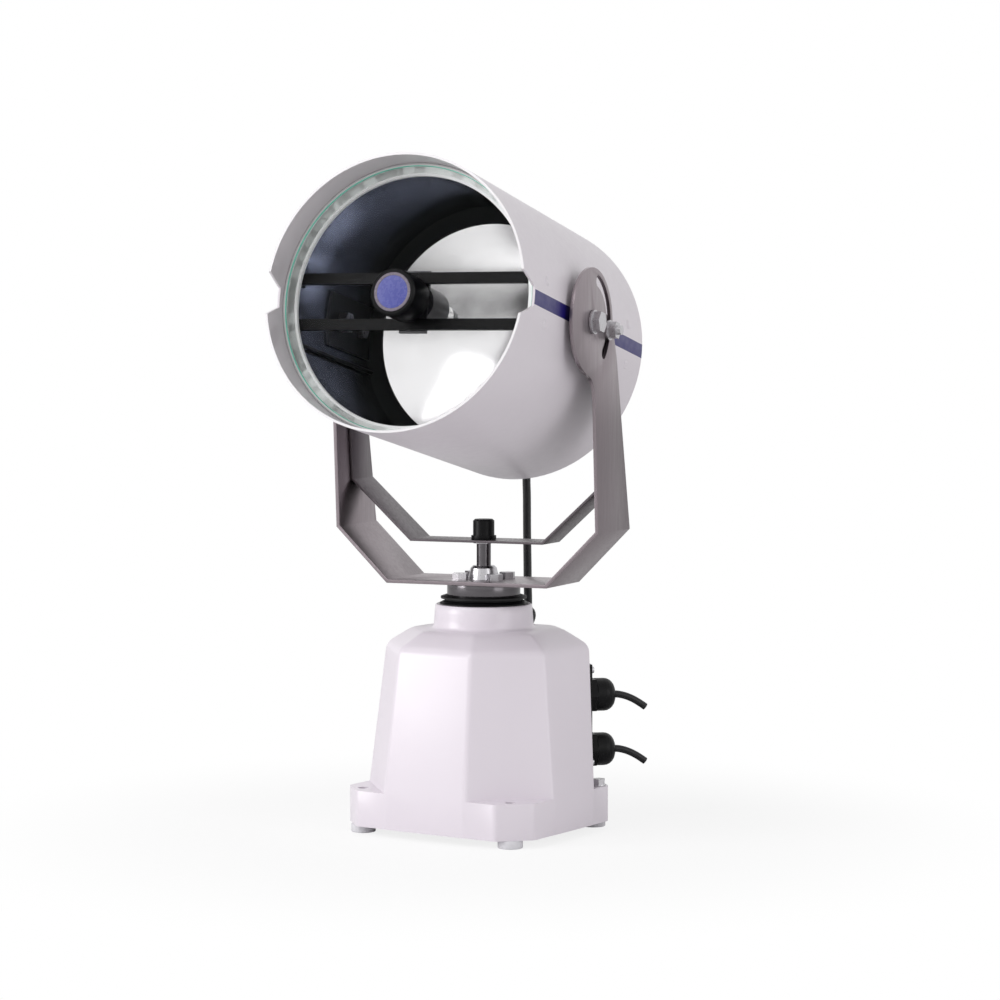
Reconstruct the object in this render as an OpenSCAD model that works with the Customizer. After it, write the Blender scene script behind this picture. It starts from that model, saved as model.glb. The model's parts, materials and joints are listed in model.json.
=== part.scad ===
// Remote-controlled marine searchlight: a rolled drum lamp in two nested yokes on a cast drive base.
// Millimetres, +Z up. The origin is the middle of the four mounting holes, on the deck.
// The light faces -Y when it is panned to zero. The head is drawn at its rest angles.

/* [Rest angles] */
// Turn of the head at rest, to starboard of straight ahead
rest_pan = 10; // [-20:1:20]
// Lift of the beam at rest, above level
rest_tilt = 10.4; // [0:0.2:14]

/* [Base casting] */
// Width of the base flange
base_w = 190; // [180:1:220]
// Depth of the base flange
base_d = 167; // [160:1:190]
// Height of the base flange
flange_h = 30.5; // [24:0.5:36]
// Cut across each corner of the flange
corner_cut = 25; // [20:1:28]
// Height of the drafted walls above the flange
body_h = 121.5; // [115:0.5:130]
// Height of the sloped shoulder
shoulder_h = 14.5; // [12:0.5:18]
// Height of the round neck above the shoulder
neck_h = 20.5; // [18:0.5:26]
// Radius of the neck at its foot
neck_r = 43; // [40:0.5:46]
// Wall of the casting
wall = 5; // [4:0.5:6]
// Distance of the pan axis behind the middle of the base
pan_back = 7.5; // [5:0.5:10]
// Depth of the front corner lugs
lug_front = 20.5; // [18:0.5:23]
// Depth of the rear corner lugs
lug_rear = 16.5; // [14:0.5:19]
// Rounding of the upright edges
upright_round = 7; // [4:0.5:9]
// Rounding of the shoulder's edges
shoulder_round = 6; // [3:0.5:6.5]

/* [Mounting] */
// Spacing of the mounting holes across the base
hole_x = 150; // [146:1:156]
// Spacing of the mounting holes along the base
hole_y = 132; // [128:1:136]
// Diameter of the mounting holes
hole_d = 9; // [7:0.5:11]
// Height of the feet
foot_h = 7; // [6:0.5:12]
// Diameter of the feet
foot_d = 21; // [18:0.5:24]

/* [Cable glands] */
// Height of the lower gland above the deck
gland_low_z = 66; // [62:1:70]
// Distance between the two glands
gland_pitch = 47.5; // [44:0.5:49]
// Width of the gland plate
gland_plate_w = 40; // [36:1:42]
// Thickness of the gland plate
gland_plate_t = 3.5; // [2:0.5:5]
// Diameter of the gland nuts
gland_d = 28.5; // [25:0.5:30]
// Diameter of the supply and control cables
tail_d = 6.2; // [5:0.2:9]
// Diameter of the head cable
cable_d = 7.4; // [6:0.2:9]

/* [Pan drive] */
// Bore of the neck bearings
bearing_d = 35; // [30:1:40]
// Outside diameter of the neck bearings
bearing_od = 62; // [58:1:66]
// Width of the neck bearings
bearing_w = 14; // [12:1:16]
// Teeth on the pan gear
gear_teeth = 56; // [52:1:58]
// Teeth on the pan pinion
pinion_teeth = 14; // [13:1:15]
// Width of the gears
gear_w = 10; // [8:0.5:11]
// Diameter of the polished rotor flange
rotor_d = 63; // [60:1:68]
// Thickness of the rotor flange
rotor_h = 10.5; // [8:0.5:13]

/* [Outer yoke] */
// Thickness of the outer yoke strip
yoke_t = 3; // [2:0.5:4]
// Half length of its bottom plate
yoke_foot = 74; // [68:1:80]
// Reach of the strip ahead of the pan axis
yoke_front = 39; // [36:1:42]
// Reach of the strip behind the pan axis
yoke_rear = 36; // [33:1:40]
// Radius of the round arm heads
arm_head_r = 45; // [42:0.5:48]
// Width of the arc slots
slot_w = 9.4; // [9:0.2:11]

/* [Inner yoke] */
// Thickness of the inner yoke strip
lifter_t = 2; // [1.5:0.25:2.5]
// Height of the inner yoke above the outer yoke
lifter_rise = 32; // [30:0.5:36]
// Half length of its bottom plate
lifter_foot = 61.5; // [58:0.5:64]
// Width of the inner yoke strip
lifter_w = 39; // [34:1:42]
// Diameter of the lift rod
rod_d = 12.3; // [11:0.1:13]

/* [Lamp drum] */
// Outside diameter of the drum
drum_d = 228; // [220:1:240]
// Length of the drum ahead of its pivot
drum_front = 132; // [128:1:140]
// Length of the drum behind its pivot
drum_back = 137; // [132:1:142]
// Sheet thickness of the drum
drum_t = 2; // [1.5:0.25:2.5]
// Height of the pivot above the deck
pivot_z = 435; // [430:1:445]
// Distance of the pivot ahead of the pan axis
pivot_ahead = 53; // [50:1:56]
// Depth of the hood ahead of the glass
hood = 30; // [26:0.5:34]
// Thickness of the front glass
glass_t = 5; // [4:0.5:6]
// Width of the ring that the glass seats on
seat_w = 9; // [7:0.5:11]
// Diameter of the lamp hub
hub_d = 39; // [36:0.5:42]
// Spacing of the two lamp bars
bar_pitch = 38; // [36:0.5:40]
// Height of each lamp bar
bar_h = 9.3; // [8:0.1:10]
// Width of the gap between the reflector and the drum
reflector_gap = 13; // [11:0.5:18]
// Focal length of the reflector
focal = 115; // [100:1:130]
// Distance of the reflector rim behind the pivot
reflector_back = 58; // [55:0.5:62]
// Distance of the guide bolts behind the pivot
guide_back = 36; // [34:0.5:38]
// Depth of the raised rear cover
cover_h = 34; // [30:1:38]

/* [Hidden] */
$fn = 96;
eps = 0.01;
// running clearance of a pin or shaft in its bore
running = 0.06;
// side clearance between parts that turn past each other
side_gap = 0.2;
// clearance of a bolt in a plain hole
bolt_gap = 0.2;
root2 = sqrt(2);

// heights of the base
flange_z = foot_h + flange_h;
wall_z = flange_z + body_h;
shoulder_z = wall_z + shoulder_h;
neck_z = shoulder_z + neck_h;
neck_top_r = neck_r - 1.3;
neck_round = 2.5;
neck_edge = 1;

// distance of the lugs' corner faces, and of the casting's corner faces, from the middle
lug_face = ((base_w + base_d) / 2 - corner_cut) / root2;
corner_front = lug_face - lug_front;
corner_rear = lug_face - lug_rear;

// half widths of the casting at the flange, at the top of the walls and at the shoulder
side_b = base_w / 2;
front_b = base_d / 2;
lug_inset = 0.5;
side_taper = 13.5;
front_taper = 16;
rear_taper = 5.5;
corner_taper = 14.5;
side_step = 22;
front_step = 21;
rear_step = 18;
corner_step = 22.5;

// bottom cover, let into the casting's foot and screwed to a lip inside it
cover_rim = 4;
cover_gap = 0.3;
lip_w = 7;
lip_h = 14;
plate_t = 2.5;
gasket_t = 1;
plate_z = foot_h;
cover_corner = (hole_x + hole_y) / 2 / root2 - foot_d / 2 - 0.8;
small_screw_d = 4;
small_head_d = 6.6;
small_head_h = 2.2;

// gland plate on the rear starboard corner
gland_plate_margin = 14;
gland_plate_rise = 7;
gland_face = corner_rear + gland_plate_t;
gland_hex_h = 7;
gland_dome_h = 17;
gland_tip = gland_face + gland_hex_h + gland_dome_h;
gland_thread_d = 20;

// head cable gland on the rear shoulder
entry_x = -4;
entry_d = 19;
entry_hex_h = 6;
entry_dome_h = 17;
entry_thread_d = 16;
entry_lean = atan2(shoulder_h, rear_step);
entry_y = front_b - rear_taper - rear_step / 2;
entry_z = wall_z + shoulder_h / 2;

// neck bearings and rotor
bearing_high_z = neck_z - 2 - bearing_w;
bearing_low_z = bearing_high_z - 32;
boss_r = bearing_od / 2 + 9;
boss_z = bearing_low_z - 1;
race_r = bearing_od / 2 - 3;
seal_h = 7.5;
seal_gap = 0.3;
rotor_z = neck_z + seal_gap + seal_h;
seal_hub_r = rotor_d / 2 - 3.5;
yoke_z = rotor_z + rotor_h;
bush_wall = 3;
bush_l = 16;
shaft_bore_r = rod_d / 2 + running + bush_wall;

// pan gears, sized to the room inside the base
gear_module = base_d * 1.5 / 167;
motor_d = base_d * 37 / 167;
gear_z = boss_z - 3 - gear_w;
gear_r = gear_teeth * gear_module / 2;
pinion_r = pinion_teeth * gear_module / 2;
gear_centres = gear_r + pinion_r + 0.15;
gear_hub_r = bearing_d / 2 + 6;
drive_plate_t = 3;
drive_plate_z = gear_z - 3 - drive_plate_t;
pan_motor_l = 54;
pinion_shaft_d = 8;
pillar_x = 52;
pillar_y = 38;
pillar_r = 6;

// tilt drive
screw_x = 45;
screw_d = 8;
carriage_h = 10;
carriage_z = drive_plate_z - 34 - carriage_h;
carriage_w = 14;
tilt_motor_l = 40;
collar_h = 5;
collar_r = rod_d / 2 + 4;
rod_z = carriage_z - collar_h - side_gap - 3;

// layers from the drum wall out to the outer yoke
drum_r = drum_d / 2;
inner_r = drum_r - drum_t;
arm_gap = 1.7;
yoke_gap = 0.5;
lifter_x = drum_r + arm_gap;
arm_x = lifter_x + lifter_t + yoke_gap;
arm_out = arm_x + yoke_t;

// outer yoke
bend = tan(22.5);
yoke_top_z = pivot_z + arm_head_r + 20;
yoke_knee_z = yoke_z + arm_out - yoke_foot;
arm_front_y = -47;
arm_rear_y = 2;
arm_rear_z = pivot_z - 30;
fillet_r = 22;
slot_up = 70;
slot_down = 46;
rotor_bolt_d = 8;
rotor_bolt_r = 21;
rotor_bolt_turn = 40;

// inner yoke
lifter_z = yoke_z + yoke_t + lifter_rise;
lifter_knee = 52;
lifter_mid = 2;
lifter_head_r = 14;
guide_y = -pivot_ahead + guide_back * cos(rest_tilt);
guide_z = pivot_z - guide_back * sin(rest_tilt);
guide_travel_back = 1.4;
guide_travel_front = 6.6;
guide_slack = 0.6;
cap_d = 18.4;
cap_rim_d = 21.5;
cap_h = 17.5;
collar_nut_h = 11.5;
collar_nut_d = 26.5;
rod_washer_t = 1.2;
rod_end = 9;

// lamp drum
seat_t = 3;
seal_t = 1;
glass_z = drum_front - hood - glass_t;
seat_z = glass_z - seal_t - seat_t;
seat_r = inner_r - seat_w;
glass_r = inner_r - 0.3;
retainer_d = 3;
notch_mouth = 36;
notch_floor = 16;
notch_deep = 22;
bar_t = 4;
bar_z = seat_z - bar_t;
bar_tab = 16;
bar_tab_t = 2.5;
hub_hole_r = 13;
hub_z = glass_z + glass_t + seal_t;
hub_l = drum_front - hub_z;
badge_d = 32;
badge_t = 1;
socket_l = 34;
socket_d = 32;
socket_plate_w = 24;
socket_plate_t = 3;
lamp_d = 17;
lamp_l = 42;
reflector_t = 1.5;
reflector_r = inner_r - reflector_gap;
reflector_z = -reflector_back;
reflector_vertex = reflector_z - reflector_r * reflector_r / (4 * focal);
reflector_steps = 24;
ring_t = 3;
bracket_w = 52;
bracket_t = 2;
bracket_back = 112;
pivot_d = 10;
pivot_nut_h = 8;
guide_d = 8;
spacer_r = 10;
backing_h = 46;
backing_t = 2.5;
backing_front = 24;
backing_back = 54;
rivet_y = 17.5;
rivet_front = bar_z - 6;
rivet_back = -103;
rivet_d = 4.8;
rivet_grip = 4;
rivet_head_d = 8;
rivet_head_h = 1.1;
rear_ring_w = 14;
rear_ring_t = 3;
cover_t = 2;
cover_flange_t = 3;
cover_r = 92;
cover_screw_r = inner_r - rear_ring_w / 2 + 1;
cover_screws = 6;
head_gland_x = -20;
head_gland_y = -20;

// routes of the cables, each a smooth curve through these points
// steps of a tail outward and up, from the place inside its gland where it is gripped
tail_steps = [[0, 0], [4.5, 0], [9, 0], [14, -0.6], [20, -2.3], [26, -5], [31.5, -8.3], [36.5, -11.8]];
tail_grip = 8.5;
tail_route = [
    for (p = tail_steps) let (out = (gland_tip - tail_grip + p[0]) / root2) [out, out, p[1]]
];

// steps of the head cable's lower length from the foot of its gland
entry_steps = [
    [0, 8.8, 10.95], [0, 14.4, 17.95], [-2.6, 19.4, 24.75], [-8.9, 28.6, 39.25], [-15.5, 38.6, 53.75],
    [-22.5, 49.1, 68.75], [-29.4, 59.5, 83.75], [-36, 69.6, 98.75]
];
entry_route = [for (p = entry_steps) [entry_x, entry_y, entry_z] + p];

// steps of its upper length from there to the gland on the rear cover, stretched to meet it
head_steps = [
    [0, 0, 0], [-6.6, 10.1, 15], [-12.7, 19, 29], [-16.8, 27.5, 41], [-20.6, 39.4, 56], [-22, 47, 74],
    [-19.9, 46.4, 91], [-15.4, 38.3, 104], [-10.6, 26.5, 111], [-6.2, 13, 113], [-3, -2.4, 115.3],
    [-0.2, -18.4, 118.3]
];
head_foot = entry_route[len(entry_steps) - 1];
head_end = from_drum([head_gland_x, head_gland_y, -drum_back - cover_h - entry_hex_h]);
head_stretch = head_end - head_foot - head_steps[len(head_steps) - 1];
head_route = [
    for (i = [0 : len(head_steps) - 1])
        head_foot + head_steps[i] + max(0, (i - 1) / (len(head_steps) - 2)) * head_stretch
];

// Places of the moving groups

module on_pan_axis() {
    translate([0, pan_back, 0]) children();
}

module in_head() {
    on_pan_axis() rotate([0, 0, rest_pan]) children();
}

// A point of the drum's optical frame, in the frame of the whole light
function turn_x(v, a) = [v[0], v[1] * cos(a) - v[2] * sin(a), v[1] * sin(a) + v[2] * cos(a)];

function turn_z(v, a) = [v[0] * cos(a) - v[1] * sin(a), v[0] * sin(a) + v[1] * cos(a), v[2]];

function from_drum(p) = [0, pan_back, 0]
    + turn_z([0, -pivot_ahead, pivot_z] + turn_x(p, 90 - rest_tilt), rest_pan);

// Optical frame of the drum: x to starboard, y up, z forward from the pivot
module in_drum() {
    in_head() translate([0, -pivot_ahead, pivot_z]) rotate([90 - rest_tilt, 0, 0]) children();
}

module both_sides() {
    children();
    mirror([1, 0, 0]) children();
}

// Lays a drawing of the side view, y across and z up, between two places along x
module side_slab(x0, x1) {
    translate([x0, 0, 0]) rotate([90, 0, 90]) linear_extrude(x1 - x0) children();
}

// General shapes

module ring(outer, inner, z0, h) {
    translate([0, 0, z0]) difference() {
        cylinder(r = outer, h = h);
        translate([0, 0, -1]) cylinder(r = inner, h = h + 2);
    }
}

module hex_head(across, h) {
    cylinder(d = across / cos(30), h = h, $fn = 6);
}

module pan_screw(length) {
    cylinder(d = small_screw_d, h = length);
    translate([0, 0, -small_head_h])
        cylinder(d1 = small_head_d - 1.5, d2 = small_head_d, h = small_head_h);
}

// Countersunk screw from the face z = 0, or with a gap the hole for it
module flat_screw(length, gap) {
    cylinder(d = small_screw_d + gap, h = length);
    cylinder(d1 = small_head_d + gap, d2 = small_screw_d + gap, h = small_head_h);
}

// Tube swept along a route, with a flat end at each end
tube_sides = 10;

function unit(v) = v / norm(v);

function along(route, i) = unit(route[min(i + 1, len(route) - 1)] - route[max(i - 1, 0)]);

function across(dir) = unit(cross(dir, abs(dir[0]) < 0.8 ? [1, 0, 0] : [0, 1, 0]));

function tube_points(route, d) = [
    for (i = [0 : len(route) - 1])
        let (dir = along(route, i), u = across(dir), v = cross(dir, u))
        for (k = [0 : tube_sides - 1])
            let (a = 360 * k / tube_sides)
            route[i] + d / 2 * (cos(a) * u + sin(a) * v)
];

function tube_faces(n) = concat(
    [[for (k = [0 : tube_sides - 1]) k]],
    [[for (k = [tube_sides - 1 : -1 : 0]) (n - 1) * tube_sides + k]],
    [
        for (i = [0 : n - 2]) for (k = [0 : tube_sides - 1])
            let (a = i * tube_sides + k, b = i * tube_sides + (k + 1) % tube_sides)
            [a, a + tube_sides, b + tube_sides, b]
    ]
);

module tube(route, d) {
    polyhedron(tube_points(route, d), tube_faces(len(route)), convexity = 4);
}

// Base casting

// Half widths to the side, front, rear, front corners and rear corners, at three levels
foot_widths = [side_b, front_b, front_b, corner_front, corner_rear];
wall_widths = foot_widths - [side_taper, front_taper, rear_taper, corner_taper, 0];
top_widths = wall_widths - [side_step, front_step, rear_step, corner_step, corner_step];

// Corners of the eight-sided section with these half widths
function section(w) =
    let (q = w[3] * root2, p = w[4] * root2)
    [
        [w[0], w[0] - q], [w[0], p - w[0]], [p - w[2], w[2]], [w[2] - p, w[2]],
        [-w[0], p - w[0]], [-w[0], w[0] - q], [w[1] - q, -w[1]], [q - w[1], -w[1]]
    ];

// Point on the smooth curve from a to c that turns at b
function eased(a, b, c, t) = (1 - t) * (1 - t) * a + 2 * t * (1 - t) * b + t * t * c;

// Outline with its corners rounded, each in as many steps as given
function rounded(points, r, steps) =
    let (n = len(points))
    [
        for (i = [0 : n - 1])
            let (
                p = points[i],
                before = unit(points[(i + n - 1) % n] - p),
                after = unit(points[(i + 1) % n] - p),
                cut = r / tan(acos(before * after) / 2)
            )
            for (k = [0 : steps]) eased(p + cut * before, p, p + cut * after, k / steps)
    ];

round_steps = 4;

function level(w, z) = [for (p = rounded(section(w), upright_round, round_steps)) [p[0], p[1], z]];

// Half widths and heights of the casting's levels, with its two shoulder edges rounded
wall_share = shoulder_round / body_h;
slope_share = shoulder_round / norm([side_step, shoulder_h]);
edge_inset = shoulder_round * [1, 1, 1, 1, 1];
wall_low = concat(wall_widths + wall_share * (foot_widths - wall_widths), wall_z - shoulder_round);
wall_edge = concat(wall_widths, wall_z);
wall_high = concat(
    wall_widths + slope_share * (top_widths - wall_widths), wall_z + slope_share * shoulder_h
);
top_low = concat(
    top_widths + slope_share * (wall_widths - top_widths), shoulder_z - slope_share * shoulder_h
);
top_edge = concat(top_widths, shoulder_z);
top_flat = concat(top_widths - edge_inset, shoulder_z);
casting_levels = concat(
    [concat(foot_widths, foot_h), concat(foot_widths, flange_z)],
    [for (k = [0 : round_steps]) eased(wall_low, wall_edge, wall_high, k / round_steps)],
    [for (k = [0 : round_steps]) eased(top_low, top_edge, top_flat, k / round_steps)]
);

// Eight drafted walls and eight shoulder facets, lofted through rounded sections
module casting_form(inset) {
    n = 8 * (round_steps + 1);
    last = len(casting_levels) - 1;
    corners = [
        for (i = [0 : last])
            let (w = casting_levels[i], drop = i > 1 ? inset : 0)
            for (p = level([for (k = [0 : 4]) w[k] - inset], w[5] - drop)) p
    ];
    faces = concat(
        [[for (k = [0 : n - 1]) k]],
        [[for (k = [n - 1 : -1 : 0]) last * n + k]],
        [
            for (i = [0 : last - 1]) for (k = [0 : n - 1])
                [n * i + k, n * i + n + k, n * i + n + (k + 1) % n, n * i + (k + 1) % n]
        ]
    );
    polyhedron(corners, faces, convexity = 4);
}

// Eight-sided outline of the casting's foot, grown or shrunk, and clear of the feet
module foot_outline(grow) {
    polygon(section([
        side_b + grow, front_b + grow, front_b + grow,
        min(corner_front + grow, cover_corner), min(corner_rear + grow, cover_corner)
    ]));
}

// Outline of the four corner lugs, whose sides stay just inside the casting's faces
module flange_outline() {
    x = base_w / 2 - lug_inset;
    y = base_d / 2 - lug_inset;
    c = corner_cut - 2 * lug_inset;
    polygon(rounded([
        [x, c - y], [x, y - c], [x - c, y], [c - x, y],
        [-x, y - c], [-x, c - y], [c - x, -y], [x - c, -y]
    ], upright_round, round_steps));
}

module at_mounting_holes() {
    for (x = [-1, 1], y = [-1, 1]) translate([x * hole_x / 2, y * hole_y / 2, 0]) children();
}

cover_screw_in = (cover_rim + wall + lip_w) / 2;
cover_screw_x = side_b - cover_screw_in;
cover_screw_y = front_b - cover_screw_in;

module at_bottom_screws() {
    for (y = [-26, 26], x = [-1, 1]) translate([x * cover_screw_x, y, 0]) children();
    for (x = [-26, 26], y = [-1, 1]) translate([x, y * cover_screw_y, 0]) children();
}

module at_pillars() {
    on_pan_axis() for (x = [-1, 1], y = [-1, 1]) translate([x * pillar_x, y * pillar_y, 0]) children();
}

// Frame of the gland plate: z out of the rear starboard corner, y up
module on_gland_corner() {
    rotate([0, 0, 45]) rotate([90, 0, 90]) children();
}

gland_mid_z = gland_low_z + gland_pitch / 2;
gland_plate_h = gland_pitch + gland_d + gland_plate_margin;
gland_plate_z = gland_mid_z + gland_plate_rise;

module at_glands() {
    for (z = [gland_low_z, gland_low_z + gland_pitch]) translate([0, z, 0]) children();
}

module at_gland_plate_screws() {
    for (x = [-1, 1], y = [-1, 1])
        translate([x * (gland_plate_w / 2 - 5), gland_plate_z + y * (gland_plate_h / 2 - 5), 0]) children();
}

// Frame of the head cable's gland: z out of the rear shoulder
module on_entry() {
    translate([entry_x, entry_y, entry_z]) rotate([-entry_lean, 0, 0]) children();
}

// Round neck with a fillet at its foot and a broken edge at its mouth
module neck_form() {
    sunk = shoulder_z - 2;
    rotate_extrude() polygon([
        [0, sunk], [neck_r + neck_round, sunk], [neck_r + neck_round, shoulder_z],
        [neck_r + neck_round / 3, shoulder_z + neck_round / 3], [neck_r, shoulder_z + neck_round],
        [neck_top_r, neck_z - neck_edge], [neck_top_r - neck_edge, neck_z], [0, neck_z]
    ]);
}

module base_housing() {
    color("whitesmoke") difference() {
        union() {
            translate([0, 0, foot_h]) linear_extrude(flange_h) flange_outline();
            casting_form(0);
            on_pan_axis() neck_form();
            on_entry() translate([0, 0, -wall - 1]) cylinder(d = entry_d + 5, h = wall + 1);
        }
        difference() {
            casting_form(wall);
            on_pan_axis() translate([0, 0, boss_z]) cylinder(r = boss_r, h = neck_z);
            at_pillars() translate([0, 0, drive_plate_z + drive_plate_t]) cylinder(r = pillar_r, h = neck_z);
            translate([0, 0, foot_h - 1]) linear_extrude(lip_h + 1) difference() {
                square(2 * base_w, center = true);
                foot_outline(-wall - lip_w);
            }
        }
        translate([0, 0, foot_h - 1]) linear_extrude(plate_t + gasket_t + 1)
            foot_outline(cover_gap - cover_rim);
        on_pan_axis() {
            translate([0, 0, bearing_high_z]) cylinder(d = bearing_od, h = neck_h);
            translate([0, 0, boss_z - 1])
                cylinder(d = bearing_od, h = bearing_low_z + bearing_w - boss_z + 1);
            translate([0, 0, boss_z]) cylinder(r = race_r, h = neck_z - boss_z + 1);
        }
        at_mounting_holes() cylinder(d = hole_d, h = flange_z + 1);
        at_bottom_screws() translate([0, 0, foot_h - 1]) cylinder(d = small_screw_d, h = 13);
        at_pillars() translate([0, 0, drive_plate_z]) cylinder(d = small_screw_d, h = 16);
        on_gland_corner() {
            at_glands() translate([0, 0, corner_rear - wall - 8])
                cylinder(d = gland_thread_d, h = wall + 10);
            at_gland_plate_screws() translate([0, 0, corner_rear - 4]) cylinder(d = small_screw_d, h = 6);
        }
        on_entry() translate([0, 0, -wall - 6]) cylinder(d = entry_thread_d, h = wall + 8);
        translate(earth_place) translate([0, 0, flange_z - earth_sunk - 1]) cylinder(d = earth_d, h = 10);
    }
}

module mounting_feet() {
    color("gainsboro") at_mounting_holes() ring(foot_d / 2, hole_d / 2, 0, foot_h);
}

module bottom_gasket() {
    color("dimgray") translate([0, 0, plate_z + plate_t]) difference() {
        linear_extrude(gasket_t) foot_outline(-cover_rim);
        translate([0, 0, -1]) linear_extrude(gasket_t + 2) foot_outline(-wall - lip_w);
        at_bottom_screws() translate([0, 0, -1]) cylinder(d = small_screw_d + bolt_gap, h = 4);
    }
}

module bottom_cover() {
    color("silver") translate([0, 0, plate_z]) difference() {
        linear_extrude(plate_t) foot_outline(-cover_rim);
        at_bottom_screws() flat_screw(5, bolt_gap);
    }
}

module bottom_screws() {
    color("silver") at_bottom_screws() translate([0, 0, plate_z]) flat_screw(10, 0);
}

module gland_outline() {
    translate([-gland_plate_w / 2, gland_plate_z - gland_plate_h / 2]) square([gland_plate_w, gland_plate_h]);
}

module gland_plate() {
    color("black") on_gland_corner() difference() {
        translate([0, 0, corner_rear]) linear_extrude(gland_plate_t) gland_outline();
        at_glands() cylinder(d = gland_thread_d + bolt_gap, h = 2 * corner_rear);
        at_gland_plate_screws() cylinder(d = small_screw_d + bolt_gap, h = 2 * corner_rear);
    }
}

module gland_plate_screws() {
    color("silver") on_gland_corner() at_gland_plate_screws()
        translate([0, 0, gland_face]) rotate([180, 0, 0]) pan_screw(gland_face - corner_rear + 3.5);
}

// Threaded gland: hexagon on the face z = 0, thread below it, bore for the cable
module gland_body(across, hex_h, thread_d, thread_l, bore) {
    difference() {
        union() {
            hex_head(across, hex_h);
            translate([0, 0, -thread_l]) cylinder(d = thread_d - bolt_gap, h = thread_l + eps);
        }
        translate([0, 0, -thread_l - 1]) cylinder(d = bore, h = thread_l + hex_h + 2);
    }
}

// Domed sealing nut of a gland, with its mouth round the cable
module gland_dome(d, h, bore) {
    lip = bore / 2 + 1;
    difference() {
        rotate_extrude() polygon(concat(
            [[0, 0], [d / 2, 0], [d / 2, h * 0.45]],
            [for (a = [15 : 15 : 75]) [lip + (d / 2 - lip) * cos(a), h * (0.45 + 0.55 * sin(a))]],
            [[lip, h], [0, h]]
        ));
        translate([0, 0, -1]) cylinder(d = bore, h = h + 2);
    }
}

tail_bore = tail_d + 0.4;
cable_bore = cable_d + 0.4;

module gland_bodies() {
    color("black") on_gland_corner() at_glands() translate([0, 0, gland_face])
        gland_body(gland_d - 1, gland_hex_h, gland_thread_d, gland_plate_t + wall + 4, tail_bore);
}

module gland_nuts() {
    color("black") on_gland_corner() at_glands() translate([0, 0, gland_face + gland_hex_h])
        gland_dome(gland_d, gland_dome_h, tail_bore);
}

module cable_tail(z) {
    lead = (gland_face - 4) / root2;
    tube(concat([[lead, lead, z]], [for (p = tail_route) p + [0, 0, z]]), tail_d);
}

module supply_cable() {
    color("black") cable_tail(gland_low_z + gland_pitch);
}

module control_cable() {
    color("black") cable_tail(gland_low_z);
}

module entry_gland() {
    color("black") on_entry() {
        gland_body(entry_d, entry_hex_h, entry_thread_d, wall + 5, cable_bore);
        translate([0, 0, entry_hex_h]) gland_dome(entry_d + 1.5, entry_dome_h, cable_bore);
    }
}

earth_d = 6;
earth_inset = 7;
earth_sunk = 7;
earth_washer_t = 1.2;
earth_nut_h = 5;
earth_x = base_w / 2 - earth_inset;
earth_place = [earth_x, (corner_rear + lug_face) / root2 - earth_x, 0];

module earth_stud() {
    color("silver") translate(earth_place) {
        translate([0, 0, flange_z - earth_sunk])
            cylinder(d = earth_d - bolt_gap, h = earth_sunk + earth_washer_t + earth_nut_h);
        translate([0, 0, flange_z]) ring(6, earth_d / 2, 0, earth_washer_t);
        translate([0, 0, flange_z + earth_washer_t]) difference() {
            hex_head(10, earth_nut_h);
            translate([0, 0, -1]) cylinder(d = earth_d - bolt_gap, h = earth_nut_h + 2);
        }
    }
}

// Pan drive

module neck_bearings() {
    color("silver") on_pan_axis() for (z = [bearing_high_z, bearing_low_z])
        ring(bearing_od / 2 - 0.02, bearing_d / 2 + running, z, bearing_w);
}

module drive_plate() {
    color("silver") difference() {
        intersection() {
            casting_form(wall + 0.3);
            translate([0, 0, drive_plate_z]) linear_extrude(drive_plate_t) flange_outline();
        }
        on_pan_axis() {
            translate([0, 0, drive_plate_z - 1]) cylinder(r = collar_r + 3, h = 6);
            translate([0, -gear_centres, drive_plate_z - 1]) cylinder(d = pinion_shaft_d + 6, h = 6);
            translate([-screw_x, 0, drive_plate_z - 1]) cylinder(d = screw_d + 2 * running, h = 6);
        }
        at_pillars() translate([0, 0, drive_plate_z - 1]) cylinder(d = small_screw_d + bolt_gap, h = 6);
    }
}

module drive_plate_screws() {
    color("silver") at_pillars() translate([0, 0, drive_plate_z]) pan_screw(drive_plate_t + 10);
}

module pan_motor() {
    color("dimgray") on_pan_axis() translate([0, -gear_centres, drive_plate_z - pan_motor_l]) {
        cylinder(d = motor_d - 3, h = pan_motor_l - 18);
        translate([0, 0, pan_motor_l - 18]) cylinder(d = motor_d, h = 18);
    }
}

// Spur gear with straight-sided teeth and room for running
module gear(teeth, width, bore) {
    pitch_r = teeth * gear_module / 2;
    tip = gear_module * 0.85;
    root = gear_module * 1.15;
    half = 360 / teeth / 4 * 0.88;
    lean = 360 / teeth / 4 * 0.42;
    difference() {
        union() {
            cylinder(r = pitch_r - root, h = width);
            for (k = [0 : teeth - 1]) rotate([0, 0, 360 * k / teeth]) linear_extrude(width) polygon([
                (pitch_r - root - 0.4) * [cos(half + lean), sin(half + lean)],
                (pitch_r - root - 0.4) * [cos(half + lean), -sin(half + lean)],
                (pitch_r + tip) * [cos(half - lean), -sin(half - lean)],
                (pitch_r + tip) * [cos(half - lean), sin(half - lean)]
            ]);
        }
        translate([0, 0, -1]) cylinder(d = bore, h = width + 2);
    }
}

module pan_pinion() {
    color("goldenrod") on_pan_axis() translate([0, -gear_centres, 0]) {
        translate([0, 0, gear_z]) rotate([0, 0, 90 + 180 / pinion_teeth])
            gear(pinion_teeth, gear_w, pinion_shaft_d);
        translate([0, 0, drive_plate_z + side_gap])
            cylinder(d = pinion_shaft_d, h = gear_z + gear_w - drive_plate_z - side_gap);
    }
}

module pan_gear() {
    color("goldenrod") on_pan_axis() {
        translate([0, 0, gear_z]) rotate([0, 0, -90]) gear(gear_teeth, gear_w, bearing_d);
    }
}

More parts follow.
